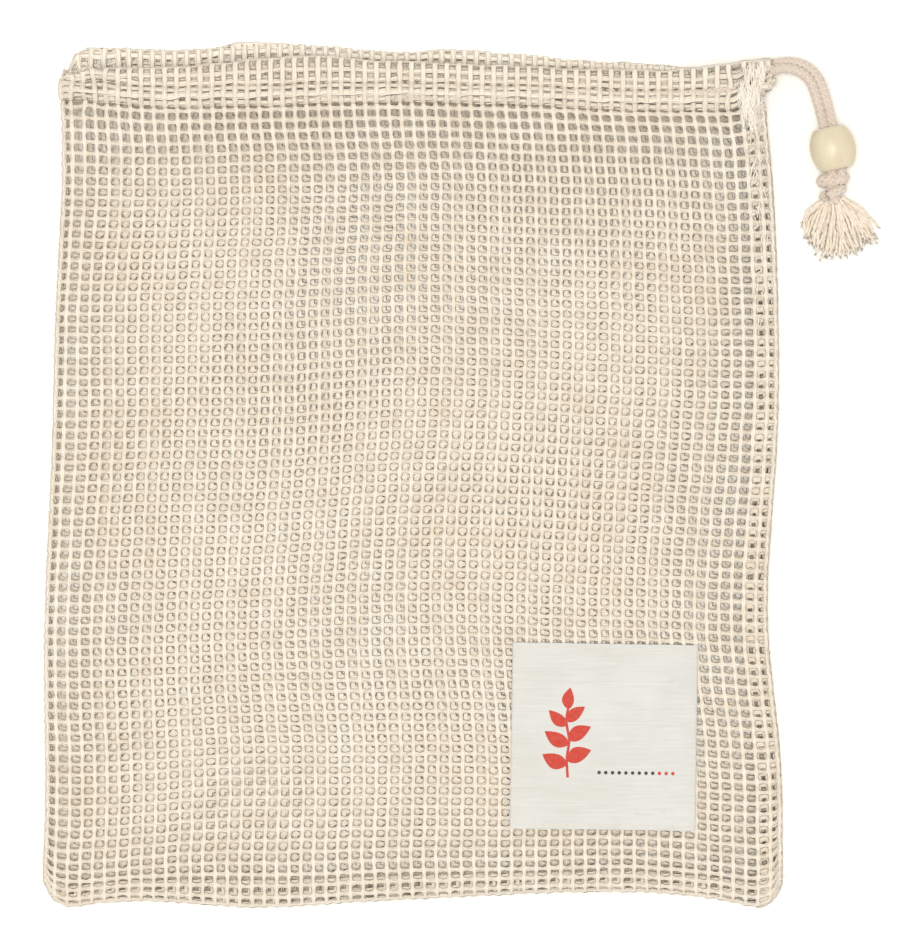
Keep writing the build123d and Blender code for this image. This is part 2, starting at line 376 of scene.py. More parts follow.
def yarn_cotton(name, pale, warm, shade_and_dark_tone, plies, twist, depth, fibre=0.25 * MM):
    """Undyed cotton yarn: plies that wind round it, fine fibres, and tones that wander. The grooves
    between the plies are darkened with painted shade.
    """
    n = Nodes(name)
    place = n.place()
    uv = n.add("ShaderNodeUVMap", uv_map="yarn").outputs[0]
    around, along, _ = n.parts(uv)
    tint = n.add("ShaderNodeAttribute", attribute_name="tint").outputs["Fac"]
    wander = n.noise(place, 45 * MM, 2.0)
    blotch = n.noise(place, 7 * MM, 3.0)
    fibres = n.noise(place, fibre, 4.0, 0.7)
    turns = n.math("MULTIPLY_ADD", along, 1 / twist, n.times(blotch, 0.5))
    ply = n.wavy(n.times(n.math("MULTIPLY_ADD", around, float(plies), turns), 2 * math.pi))
    tone = n.math("ADD", n.times(n.spread(wander, 0.35, 0.65), 0.55), n.times(tint, 0.45))
    base = n.mix(tone, pale, warm)
    base = n.mix(n.spread(blotch, 0.45, 0.75, 0.0, 0.35), base, shade_and_dark_tone)
    # painted shade: the grooves between the plies are darkened
    base = n.mix(n.spread(ply, 0.0, 0.45, 0.45, 0.0), base, shade_and_dark_tone)
    base = n.mix(n.spread(fibres, 0.3, 0.65, 0.16, 0.0), base, shade_and_dark_tone)
    n.set(Base_Color=base, Roughness=n.spread(fibres, 0.2, 0.8, 0.82, 0.97))
    n.set(Specular_IOR_Level=0.2, Sheen_Weight=0.25, Sheen_Roughness=0.6)
    n.bump(n.math("MULTIPLY_ADD", fibres, 0.5, ply), depth)
    return n.material


def label_cotton():
    """Off-white cotton with fine cross ribs, uneven and broken by thicker threads. The valleys between
    the ribs are darkened with painted shade.
    """
    n = Nodes("label_cotton")
    place = n.place()
    x, y, _ = n.parts(place)
    cloudy = n.noise(place, 18 * MM, 3.0)
    slubs = n.noise(n.stretched(place, (0.05, 1.0, 1.0)), 0.8 * MM, 2.0)
    drift = n.noise(n.stretched(place, (0.10, 1.0, 1.0)), 4.0 * MM, 3.0)
    fibres = n.noise(place, 0.22 * MM, 4.0, 0.7)
    ribs = n.math("MULTIPLY_ADD", y, 1 / RIB, n.times(drift, 2.4))
    rib = n.wavy(n.times(ribs, 2 * math.pi))
    warp = n.wavy(n.times(x, 2 * math.pi / (0.5 * MM)))
    height = n.math("ADD", n.times(rib, 0.5), n.times(warp, 0.2))
    height = n.math("ADD", height, n.times(slubs, 1.2))
    base = n.mix(n.spread(cloudy, 0.35, 0.65), rgb(213, 211, 206), rgb(207, 205, 198))
    # painted shade: the colour darkens in the valleys between the ribs
    base = n.mix(n.spread(rib, 0.0, 0.6, 0.10, 0.0), base, rgb(192, 188, 178))
    base = n.mix(n.spread(slubs, 0.52, 0.72, 0.0, 0.35), base, rgb(196, 192, 183))
    base = n.mix(n.spread(slubs, 0.28, 0.45, 0.25, 0.0), base, rgb(226, 224, 218))
    n.set(Base_Color=base, Roughness=n.spread(fibres, 0.2, 0.8, 0.84, 0.96))
    n.set(Specular_IOR_Level=0.2, Sheen_Weight=0.15, Sheen_Roughness=0.6)
    n.bump(n.math("MULTIPLY_ADD", fibres, 0.4, height), 0.06 * MM)
    return n.material


def ink(name, colour, faded):
    """Water-based ink that has sunk into the cotton."""
    n = Nodes(name)
    place = n.place()
    _, y, _ = n.parts(place)
    worn = n.noise(place, 1.1 * MM, 4.0, 0.7)
    rib = n.math("SINE", n.times(y, 2 * math.pi / RIB))
    n.set(Base_Color=n.mix(n.spread(worn, 0.35, 0.75, 0.0, 0.5), colour, faded))
    n.set(Roughness=n.spread(worn, 0.2, 0.8, 0.7, 0.9), Specular_IOR_Level=0.25)
    n.bump(rib, 0.03 * MM)
    return n.material


def bead_wood():
    """Pale turned wood: fine long grain, soft rings, a thin clear finish."""
    n = Nodes("bead_wood")
    place = n.place()
    turned = n.add("ShaderNodeVectorRotate", {"Vector": place, "Center": BEAD_CENTRE,
                                              "Axis": Z_AXIS, "Angle": -BEAD_LEAN},
                   rotation_type="AXIS_ANGLE").outputs[0]
    grain = n.noise(n.stretched(turned, (1.0, 0.09, 1.0)), 0.5 * MM, 5.0, 0.65)
    broad = n.noise(n.stretched(turned, (1.0, 0.25, 1.0)), 4.5 * MM, 3.0)
    pores = n.noise(n.stretched(turned, (1.0, 0.12, 1.0)), 0.16 * MM, 2.0)
    base = n.mix(n.spread(broad, 0.35, 0.65), rgb(221, 210, 184), rgb(215, 201, 171))
    base = n.mix(n.spread(grain, 0.42, 0.68, 0.0, 0.40), base, rgb(208, 188, 150))
    base = n.mix(n.spread(pores, 0.6, 0.75, 0.0, 0.25), base, rgb(184, 158, 116))
    n.set(Base_Color=base, Roughness=n.spread(grain, 0.3, 0.7, 0.38, 0.52))
    n.set(Specular_IOR_Level=0.45, Coat_Weight=0.15, Coat_Roughness=0.3)
    n.bump(n.math("ADD", grain, n.times(pores, 0.6)), 0.03 * MM)
    return n.material


def floor_paper():
    """A plain pale sweep."""
    n = Nodes("floor_paper")
    grain = n.noise(n.place(), 1.5 * MM, 3.0)
    n.set(Base_Color=n.mix(grain, rgb(253, 251, 246), rgb(252, 249, 243)), Roughness=0.95)
    n.set(Specular_IOR_Level=0.1)
    return n.material


# ---- camera, light, floor

def camera():
    """Straight above, with the picture's frame."""
    data = bpy.data.cameras.new("camera")
    data.sensor_fit = "VERTICAL"
    data.sensor_height = SENSOR
    data.lens = SENSOR * CAMERA_HEIGHT / VIEW_HEIGHT
    data.clip_end = 20
    holder = bpy.data.objects.new("camera", data)
    holder.location = (*VIEW_CENTRE, CAMERA_HEIGHT + VIEW_LEVEL)
    bpy.context.scene.collection.objects.link(holder)
    bpy.context.scene.camera = holder


def dome():
    """White light from all round, shown without a film curve."""
    bpy.context.scene.view_settings.view_transform = "Standard"
    world = bpy.data.worlds.new("studio")
    world.use_nodes = True
    background = world.node_tree.nodes["Background"]
    background.inputs["Color"].default_value = DOME_COLOUR
    background.inputs["Strength"].default_value = DOME_STRENGTH
    bpy.context.scene.world = world


def key_light():
    """A soft square light from nearly above, turned to the middle of the bag."""
    data = bpy.data.lights.new("key", "AREA")
    data.shape = "SQUARE"
    data.size = KEY_SIZE
    data.energy = KEY_POWER
    lamp = bpy.data.objects.new("key", data)
    lamp.location = KEY_PLACE
    x, y, z = KEY_PLACE
    lamp.rotation_euler = (0, math.pi / 2 - math.atan2(z, math.hypot(x, y)), math.atan2(-y, -x))
    bpy.context.scene.collection.objects.link(lamp)


def floor():
    """A plain pale floor, far wider than the view."""
    corners = [np.array((x, y, 0.0)) for x, y in ((-1, -1), (1, -1), (1, 1), (-1, 1))]
    sweep = mesh_piece("floor", [FLOOR_REACH * np.array(corners)], [(0, 1, 2, 3)], floor_paper())
    sweep.location.z = -FLOOR_DROP


camera()
dome()
key_light()
floor()

NET = yarn_cotton("net_cotton", rgb(248, 240, 225), rgb(244, 232, 213), rgb(206, 187, 160), 7,
                  15 * MM, 0.18 * MM)
# painted light: the back's cotton is a paler copy of the front's, which lifts the shade that the front
# casts on the back
NET_BACK_LIT = yarn_cotton("net_back_cotton_lit", rgb(255, 249, 235), rgb(253, 242, 224),
                       rgb(226, 207, 182), 7, 15 * MM, 0.14 * MM)
CORD = yarn_cotton("cord_cotton", rgb(223, 211, 198), rgb(218, 202, 187), rgb(198, 176, 158), 2,
                   3 * MM, 0.10 * MM, 0.18 * MM)
TASSEL = yarn_cotton("tassel_cotton", rgb(246, 235, 219), rgb(241, 226, 207), rgb(218, 199, 176), 3,
                     2.2 * MM, 0.12 * MM, 0.15 * MM)
THREAD = yarn_cotton("sewing_thread", rgb(243, 234, 219), rgb(239, 228, 210), rgb(214, 198, 174), 2,
                     1.0 * MM, 0.05 * MM, 0.12 * MM)
FRAY = yarn_cotton("frayed_cotton", rgb(247, 241, 231), rgb(243, 233, 219), rgb(220, 204, 184), 2,
                   1.6 * MM, 0.05 * MM, 0.12 * MM)

# Of each side: which way is out, its cotton, and how wide its yarns are
SIDES = {"front": (1, NET, 1.0), "back": (-1, NET_BACK_LIT, BACK_YARNS)}


# ---- the drawstring

def braided(path, radius, pitch=BRAID_PITCH):
    """The strands of a round braid along a path, half of them winding each way, and its core."""
    tangents, sides = carried_sides(path)
    normals = np.cross(tangents, sides)
    along = distances(path)
    weave = np.cos(2 * BRAID_STRANDS * math.pi * along / pitch)
    strands = []
    for way in (1, -1):
        for k in range(BRAID_STRANDS):
            angle = way * 2 * math.pi * along / pitch + 2 * math.pi * k / BRAID_STRANDS
            out = sides * np.cos(angle)[:, None] + normals * np.sin(angle)[:, None]
            reach = radius * (0.68 + 0.12 * way * weave)
            strand = path + out * reach[:, None]
            side = np.cross(out, unit(np.gradient(strand, axis=0)))
            strands.append((strand, side, radius * 0.44, radius * 0.28))
    return [*strands, (path, sides, radius * 0.6, radius * 0.6)]


def hair(start, lean, bend):
    """A short fibre that leans one way, and bends a little halfway."""
    middle = start + lean
    return through(np.array([start, middle, middle + lean + bend]), 3)


def fuzz(path, radius, count, longest, own):
    """Loose fibres that stand off a cord."""
    tangents, sides = carried_sides(path)
    normals = np.cross(tangents, sides)
    hairs = []
    for _ in range(count):
        at = own.integers(0, len(path))
        angle = own.uniform(0, 2 * math.pi)
        out = sides[at] * math.cos(angle) + normals[at] * math.sin(angle)
        length = longest * own.uniform(0.3, 1.0)
        lean = tangents[at] * own.uniform(-1, 1) + out * own.uniform(0.15, 0.7)
        half = length * 0.5
        points = hair(path[at] + out * radius * 0.85, lean * half, own.normal(0, 0.35, 3) * half)
        if points[:, 2].min() > 0.1 * MM:
            hairs.append((points, np.cross(tangents[at], out), 0.022 * MM, 0.022 * MM))
    return hairs


def tail(name, points, node):
    """One free end of the drawstring, in its braid."""
    path = spline_path(points, CORD_STEP)
    own = np.random.default_rng(len(name))
    piece = yarn_piece(name, braided(path, BRAID_RADIUS), CORD, corners=7)
    carried(piece, "drawstring", "drawstring", node)
    hairs = fuzz(path, BRAID_RADIUS, 260, 1.3 * MM, own)
    carried(yarn_piece(f"{name}_fuzz", hairs, CORD, corners=3), "drawstring", "drawstring")


def turned(profile, centre, lean, segments):
    """Points and faces of a closed turned shape: profile is (distance from the axis, place along it)."""
    radii, places = np.array(profile).T
    angles = 2 * math.pi * np.arange(segments) / segments
    axis = np.array((-math.sin(lean), math.cos(lean), 0.0))
    aside = np.array((math.cos(lean), math.sin(lean), 0.0))
    round_it = aside * np.cos(angles)[:, None] + Z_AXIS * np.sin(angles)[:, None]
    points = np.array(centre) + axis * places[:, None, None] + round_it[None] * radii[:, None, None]
    faces = []
    for i in range(len(profile)):
        here, there = i * segments, (i + 1) % len(profile) * segments
        for k in range(segments):
            beside = (k + 1) % segments
            faces.append((here + k, there + k, there + beside, here + beside))
    return points, faces


def bead():
    """The turned wooden barrel, with rounded rims and a bore."""
    half = BEAD_HALF_LENGTH
    swell = [(math.sqrt(1 - (y / (1.32 * half)) ** 2.0) * BEAD_RADIUS, y)
             for y in np.linspace(-half * 0.93, half * 0.93, 25)]
    rim = [(5.1 * MM, half * 0.985), (4.6 * MM, half), (3.9 * MM, half), (3.45 * MM, half * 0.96)]
    bore = [(BORE_RADIUS, half * 0.8), (BORE_RADIUS, -half * 0.8)]
    lower = [(r, -y) for r, y in reversed(rim)]
    points, faces = turned([*swell, *rim, *bore, *lower], BEAD_CENTRE, BEAD_LEAN, 64)
    piece = mesh_piece("wooden_bead", [points], faces, bead_wood())
    carried(piece, "bead", "bead_wood", "bead")
    return piece


def knot():
    """Both ends tied together: turns round them, the last one tucked under the others."""
    low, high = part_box("knot")
    centre = (np.array(low) + np.array(high)) / 2
    yarns = []
    # Each turn: half width, place along the cord, tilt, first and last angle, radius (mm, degrees)
    for wide, place, tilt, begin, end, radius in ((3.7, 2.9, 0.5, -40, 330, 2.25),
                                                  (3.2, -1.4, 1.7, 150, 480, 1.7)):
        points = []
        for angle in np.radians(np.linspace(begin, end, 14)):
            y = place + tilt * math.cos(angle) - 0.3 * angle / math.pi
            points.append((wide * math.cos(angle), y, 2.25 * math.sin(angle)))
        yarns += braided(spline_path(centre + np.array(points) * MM, CORD_STEP), radius * MM)
    core = np.array([(-0.4, 5.2, 2.2), (-0.2, 2.0, 0.6), (0.2, -2.0, -0.2), (0.3, -5.6, -0.8)]) * MM
    yarns += braided(spline_path(centre + core, CORD_STEP), 2.3 * MM, 12 * MM)
    piece = yarn_piece("knot_turns", yarns, CORD, corners=7)
    carried(piece, "drawstring", "drawstring", "knot")
    return piece


def tassel():
    """The cords' own yarns, frayed out below the knot."""
    own = np.random.default_rng(5)
    yarns = []
    for k in range(TASSEL_YARNS):
        spread = (k + 0.5) / TASSEL_YARNS * 2 - 1 + own.normal(0, 0.05)
        angle = math.radians(-86 + 43 * spread + own.normal(0, 5))
        shorter = 7.4 if spread < 0 else 2.4
        length = (19.2 - shorter * abs(spread) ** 1.4 + own.normal(0, 0.9)) * MM
        ahead = np.array((math.cos(angle), math.sin(angle), 0.0))
        aside = np.array((-ahead[1], ahead[0], 0.0))
        bend = own.normal(0, 0.8) * MM + 1.5 * MM * spread
        offset = (2.7 * spread + own.normal(0, 0.4), own.uniform(-0.5, 0.8), 0)
        start = TASSEL_ROOT + np.array(offset) * MM
        start[2] = own.uniform(1.4, 5.2) * MM
        knots = []
        for t in np.linspace(0, 1, 7):
            stray = bend * math.sin(math.pi * t) + own.normal(0, 0.30) * MM * t
            point = start + ahead * length * t + aside * stray
            height = start[2] * (1 - t) ** 1.5 + own.uniform(0.6, 3.2) * MM * min(1, 2 * t)
            knots.append((*point[:2], max(height, 0.55 * MM)))
        path = through(np.array(knots), 8)
        taper = np.linspace(1.0, 0.75, len(path))
        _, sides = carried_sides(path)
        yarns.append((path, sides, 0.62 * MM * taper, 0.50 * MM * taper))
        for _ in range(6):
            tip = path[-1] + ahead * own.uniform(0.5, 1.6) * MM + aside * own.normal(0, 0.5) * MM
            tip[2] = max(0.15 * MM, tip[2] + own.normal(0, 0.5) * MM)
            fibre = through(np.array([path[-6], path[-1] + own.normal(0, 0.12, 3) * MM, tip]), 4)
            fibre[:, 2] = np.maximum(fibre[:, 2], 0.15 * MM)
            yarns.append((fibre, X_AXIS, 0.05 * MM, 0.05 * MM))
    piece = yarn_piece("tassel_yarns", yarns, TASSEL, corners=6)
    carried(piece, "drawstring", "drawstring", "tassel")
    return piece


def held_run(name, path, node):
    """A stretch of the drawstring in its casing, which squeezes it."""
    piece = yarn_piece(name, braided(path, CORD_DIAMETER / 2), CORD, corners=5)
    carried(piece, "drawstring", "drawstring", node)


def held_runs():
    """The drawstring where the casing hides most of it: along each side, and round the fold."""
    held_run("drawstring_run_front", spline_path(FRONT_RUN, 0.8 * MM), "drawstring_front")
    held_run("drawstring_run_back", spline_path(BACK_RUN, 0.8 * MM), "drawstring_back")
    a, b = np.array(FRONT_RUN[0]), np.array(BACK_RUN[0])
    radius = np.linalg.norm(b - a) / 2
    centre, up = (a + b) / 2, (a - b) / 2
    angles = np.linspace(0, math.pi, 28)[:, None]
    path = centre + up * np.cos(angles) - radius * X_AXIS * np.sin(angles)
    held_run("drawstring_turn", path, "drawstring_bend")


end_pieces = [bead(), knot(), tassel()]
tail("drawstring_end_front", FRONT_TAIL, "front_tail")
tail("drawstring_end_back", BACK_TAIL, "back_tail")
held_runs()


# ---- the bag's outline

def cad_corners(node):
    """The corners of a CAD node's mesh."""
    return np.array([v.co[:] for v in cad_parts[node].data.vertices])


def edge_line(points, along):
    """A line through edge points, as a function of the coordinate that runs along it."""
    order = np.argsort(points[:, along])
    points = points[order]
    return lambda s: np.interp(s, points[:, along], points[:, 1 - along])


panel = cad_corners("back_panel")
EDGE = 1.6 * MM  # the fold and the seams outside the panel
PANEL_LOW, PANEL_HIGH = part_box("front_panel")
NET_TOP = PANEL_HIGH[1]
BEND_Y = -0.138  # below this the corners turn
SIDE_X = 0.115  # the side edges lie outside this
LEFT = edge_line(panel[(panel[:, 0] < -SIDE_X) & (panel[:, 1] > BEND_Y)], 1)
RIGHT = edge_line(panel[(panel[:, 0] > SIDE_X) & (panel[:, 1] > BEND_Y)], 1)
BOTTOM = edge_line(panel[panel[:, 1] < BEND_Y], 0)
BOTTOM_LEVEL = -0.1490  # the bottom edge on the whole
BOTTOM_FADE = 18 * MM  # how far up its bends are felt
MOUTH_FADE = 12 * MM  # and how far down the mouth's
FRONT_LOW = PANEL_LOW[2] + 0.6 * MM  # the front's middle over most of the bag, before it sinks
FRONT_HIGH = PANEL_HIGH[2] - 0.6 * MM  # and where it meets the casing
BACK_Z = 0.62 * MM  # the back's middle at the edges
CLOTH_WIDTH = 0.262  # of a panel, roughly, with its turns at the edges
CLOTH_HEIGHT = 0.284


def quarter_turn(a):
    """Cloth that comes up from an edge: how far in it is, and how much of its height it has."""
    t = np.clip(a / WRAP_LENGTH, 0, 1) * math.pi / 2
    inward = np.where(a < WRAP_LENGTH, WRAP_REACH * (1 - np.cos(t)), WRAP_REACH + a - WRAP_LENGTH)
    return inward, np.sin(t)


def across(u, left, right):
    """Where the share u of the cloth's width lies between two edges, and its rise from them."""
    width = right - left - 2 * WRAP_REACH + 2 * WRAP_LENGTH
    a, b = u * width, (1 - u) * width
    from_left, rise_left = quarter_turn(a)
    from_right, rise_right = quarter_turn(b)
    x = np.where(u < 0.5, left + from_left, right - from_right)
    return x, rise_left * rise_right


def mound(x, y, centre, reach):
    """A smooth hill, one high. Centre and reach are in mm."""
    return np.exp(-((x / MM - centre[0]) / reach[0]) ** 2 - ((y / MM - centre[1]) / reach[1]) ** 2)


def wander_y(x, y):
    """How far the cross yarns have strayed: up in a broad hump, down at the right and the lower left."""
    hump = 3.9 * mound(x, y, (5, 15), (50, 90))
    right = 1.4 * smoothstep((x - 0.070) / 0.050)
    lower_left = 2.9 * smoothstep((-0.060 - x) / 0.060) * smoothstep((0.060 - y) / 0.160)
    return MM * (hump - 0.4 - right - lower_left)


def stagger(x, y, least, more, hills):
    """How far the back's yarns lie from under the front's: on the hills they fill the holes."""
    filled = sum(mound(x, y, centre, reach) for centre, reach in hills)
    return MM * (least + more * np.minimum(filled, 1))


# For the back's pillars, across, and for its cross yarns, along
STAGGER_X = (1.55, 0.65, (((-40, 25), (52, 62)), ((-97, -80), (30, 32)), ((78, 60), (26, 40))))
STAGGER_Y = (1.35, 0.55, (((-85, 62), (34, 48)), ((-12, 15), (36, 46)), ((60, -10), (30, 34)),
                          ((-60, -112), (44, 16))))
WAVE = ripples(3, 0.25 * MM, 0.06, 0.18)
BACK_WAVE = ripples(13, 0.35 * MM, 0.06, 0.20)
JITTER = {"front": ripples(23, 0.055 * MM, 0.012, 0.030, 9),
          "back": ripples(33, 0.08 * MM, 0.012, 0.030, 9)}
SWELL = ripple(41, 0.30 * MM, 0.05, 0.15)
LOWEST = 0.52 * MM  # a yarn's middle when it lies on the table
CRUSH = [ripple(seed, 0.55 * MM, 0.006, 0.015, 9) for seed in (61, 62, 63)]


def crushed(x, y):
    """How bunched the cloth is: at the two top corners, where the casing ends."""
    left = smoothstep((-0.096 - x) / 0.018)
    right = smoothstep((x - 0.104) / 0.014)
    return np.maximum(left, right) * smoothstep((y - 0.1240) / 0.0080)


def crush(points):
    """The bunching of the top corners: small random folds."""
    x, y = points[..., 0], points[..., 1]
    amount = crushed(x, y)
    points = points + np.stack([fold(x, y) for fold in CRUSH], axis=-1) * amount[..., None]
    points[..., 2] = np.maximum(points[..., 2], LOWEST)
    return points


def wave(which, x, y):
    """How far the net's yarns have strayed from a plain grid."""
    dx, dy = WAVE[0](x, y), WAVE[1](x, y) + wander_y(x, y)
    if which == "back":
        dx, dy = dx + BACK_WAVE[0](x, y), dy + BACK_WAVE[1](x, y)
    return dx, dy


def corner_lift(x):
    """0 along the casing, 1 at the corner that the drawstring comes out of."""
    return smoothstep((x - 0.110) / 0.015)


def mouth_line(which, x):
    """How far the casing's lower edge strays from straight. On the back it doesn't."""
    middle = 1.6 * mound(x, 0, (-8, 0), (46, 1))
    left = 2.6 * smoothstep((-0.088 - x) / 0.034)
    right = 1.2 * smoothstep((x - 0.044) / 0.030)
    return MM * (middle + left - right - 0.6) * (which == "front")


def climb(y):
    """The height of the front as it would lie without sinking: it climbs to the casing."""
    return FRONT_LOW + (FRONT_HIGH - FRONT_LOW) * smoothstep((y - 0.092) / 0.034)


def sunk(x, y):
    """0 at the edges, 1 well inside them."""
    inward = np.minimum(np.minimum(x - LEFT(y), RIGHT(y) - x), np.minimum(y - BOTTOM(x), NET_TOP - y))
    return 1 - np.exp(-(np.maximum(inward, 0) / 0.022) ** 2)


def front_height(x, y):
    """The height of the front's middle surface: it sinks between the edges, in slow waves."""
    return climb(y) + sunk(x, y) * (SWELL(x, y) - SAG)


def back_height(x, y):
    """The height of the back's middle surface: it stands a little off the table inside the edges."""
    return BACK_Z + sunk(x, y) * (SWELL(x, y) + BACK_LIFT)


def panel_point(which, u, v):
    """A point of the front or the back at shares u of its width and v of its height."""
    u, v = np.broadcast_arrays(np.asarray(u, float), np.asarray(v, float))
    y_guess = BOTTOM_LEVEL + (NET_TOP - BOTTOM_LEVEL) * v
    x, rise_x = across(u, LEFT(y_guess) - EDGE, RIGHT(y_guess) + EDGE)
    height = NET_TOP - BOTTOM_LEVEL - WRAP_REACH + WRAP_LENGTH
    c = v * height
    inward, rise_y = quarter_turn(c)
    y = BOTTOM_LEVEL + inward + (BOTTOM(x) - EDGE - BOTTOM_LEVEL) * np.exp(-c / BOTTOM_FADE)
    y = y + (5.5 * MM * corner_lift(x) + mouth_line(which, x)) * np.exp(-(height - c) / MOUTH_FADE)
    wave_x, wave_y = wave(which, x, y)
    jitter_x, jitter_y = JITTER[which]
    dx = wave_x * inside(u, 12) * inside(v, 14) + jitter_x(x, y) * inside(u, 30)
    dy = wave_y * inside(v, 14) + jitter_y(x, y) * inside(v, 30)
    if which == "back":
        dx = dx + stagger(x, y, *STAGGER_X) * inside(u, 12) * smoothstep(v * 14)
        dy = dy + stagger(x, y, *STAGGER_Y) * smoothstep(v * 14)
    x, y = x + dx, y + dy
    level = front_height(x, y) if which == "front" else back_height(x, y)
    edge = (climb(y) + BACK_Z) / 2
    z = edge + (level - edge) * rise_x * rise_y
    return crush(np.stack([x, y, z], axis=-1))


def stations(count, end_meshes=2):
    """Places along a yarn: two for each mesh, and more where it turns round an edge."""
    middle = np.arange(0, 2 * count + 1) / (2 * count)
    fine = np.linspace(0, end_meshes / count, end_meshes * 4, endpoint=False)
    middle = middle[(middle >= end_meshes / count) & (middle <= 1 - end_meshes / count)]
    return np.concatenate([fine, middle, (1 - fine)[::-1]])


def net_panel(which, name, *nodes):
    """One panel of the net: pillars, and the cross yarns that join them."""
    sign, cotton, wider = SIDES[which]
    yarns = []
    own = np.random.default_rng(50 + sign)
    v = stations(ROWS)
    for i in range(PILLARS):
        path = panel_point(which, (i + 0.5) / PILLARS, v)
        beat = np.cos(2 * math.pi * (v * ROWS - 0.5))
        path[:, 0] += 0.10 * MM * np.cos(math.pi * v * ROWS) * (-1) ** i
        swell = wider * (1 + 0.26 * beat + own.normal(0, 0.07, len(v)))
        yarns.append((path, X_AXIS, PILLAR_HALF[0] * swell, PILLAR_HALF[1]))
    u = stations(PILLARS)
    for j in range(ROWS):
        path = panel_point(which, u, (j + 0.5) / ROWS)
        beat = np.cos(2 * math.pi * (u * PILLARS - 0.5))
        path[:, 2] -= sign * 0.16 * MM * beat
        droop = own.normal(0, 0.10, len(u))
        path[:, 1] += MM * droop * (beat < 0)
        swell = wider * (1 + 0.28 * beat + own.normal(0, 0.07, len(u)))
        yarns.append((path, Y_AXIS, CROSS_HALF[0] * swell, CROSS_HALF[1]))
    piece = yarn_piece(name, yarns, cotton, corners=YARN_SIDES, strips=True)
    cloth(piece, "net", *nodes)
    return piece


front_net = net_panel("front", "front_net", "front_panel", "left_fold")
back_net = net_panel("back", "back_net", "back_panel")


# ---- the hem: casing and frill

def frill_line(node, corner, exit_points):
    """The fold at the top of the mouth: the CAD's line, from the rounded left corner to the exit."""
    middle = [p[:2] for p in cad_corners(node) if p[1] > corner[-1][1] and p[0] > corner[-1][0]]
    return edge_line(np.vstack([corner, middle, exit_points]), 0)


FRONT_FRILL = frill_line("front_casing", [(-0.1226, 0.1352), (-0.1208, 0.1396)],
                         [(0.118, 0.1445), (0.127, 0.1466)])
BACK_FRILL = frill_line("back_casing", [(-0.1226, 0.1352), (-0.1203, 0.1420)],
                        [(0.118, 0.1452), (0.127, 0.1474)])

# The hem's cloth, from the panel over the drawstring to the frill's fold, and back down inside.
# Each point: where it is (mm), its share of the way from there to the fold, height (mm), and
# whether a cross yarn runs here.
FRONT_HEM = [(129.4, 0, 9.9, 0), (130.3, 0, 11.5, 1), (132.7, 0, 13.38, 1), (135.0, 0, 12.4, 1),
             (136.0, 0, 11.1, 0), (136.5, 0.10, 11.8, 1), (136.5, 0.55, 12.25, 1),
             (136.5, 0.90, 12.1, 0), (136.5, 1.0, 11.5, 1), (136.5, 0.90, 10.9, 0),
             (136.5, 0.72, 10.85, 1), (136.5, 0.30, 10.85, 1), (135.6, 0, 10.6, 0),
             (134.6, 0, 9.75, 1), (132.7, 0, 9.5, 0), (130.7, 0, 9.55, 1), (129.2, 0, 9.5, 0)]
BACK_HEM = [(129.4, 0, 0.62, 0), (131.4, 0, 0.6, 1), (134.8, 0, 0.5, 1), (138.0, 0, 0.43, 1),
            (141.2, 0, 0.45, 1), (141.2, 0.50, 0.45, 1), (141.2, 0.88, 0.5, 1), (141.2, 1.0, 0.95, 1),
            (141.2, 0.93, 1.6, 0), (141.2, 0.76, 1.8, 1), (141.2, 0.24, 1.7, 1), (140.4, 0, 3.0, 0),
            (138.0, 0, 4.25, 1), (135.8, 0, 3.2, 0), (134.7, 0, 1.7, 1), (133.4, 0, 1.5, 0)]
HEMS = {"front": (FRONT_HEM, FRONT_FRILL), "back": (BACK_HEM, BACK_FRILL)}
HEM_MIDDLE = 6.9 * MM
HEM_STEPS = 4
FRILL_WAVE = ripple(71, 1.0, 0.03, 0.08)
HEM_WANDER = ripple(72, 0.20 * MM, 0.012, 0.040, 9)


def hem_line(which, u):
    """The hem's cloth at a share u of its width, as points along its way round."""
    points, frill = HEMS[which]
    fold = [point[1] for point in points].index(1.0)
    line = []
    for index, (start, share, height, _) in enumerate(points):
        inset = 1.6 * MM * smoothstep((index - fold + 1) / 2)
        x, rise = across(np.array(u), LEFT(NET_TOP) - EDGE + inset, RIGHT(NET_TOP) + EDGE)
        x = float(x)
        rise = float(rise) if u < 0.5 else 1.0
        lift = float(corner_lift(x))
        y = start * MM + (6.0 * MM * lift + float(mouth_line(which, x))) * (1 - share)
        y += share * (float(frill(x)) - start * MM)
        z = (height + share * 0.45 * float(FRILL_WAVE(x, 0))) * MM
        if which == "front":
            z -= 2.8 * MM * lift
        elif height > 1.3:
            z += 1.4 * MM * lift
        z = HEM_MIDDLE + (z - HEM_MIDDLE) * rise
        x += 4.6 * MM * smoothstep((x - 0.108) / 0.016) * smoothstep((y - 0.1300) / 0.009)
        y += float(HEM_WANDER(x, 2.5 * start * MM + 0.02 * share))
        line.append((x, y, z))
    return crush(through(np.array(line), HEM_STEPS))


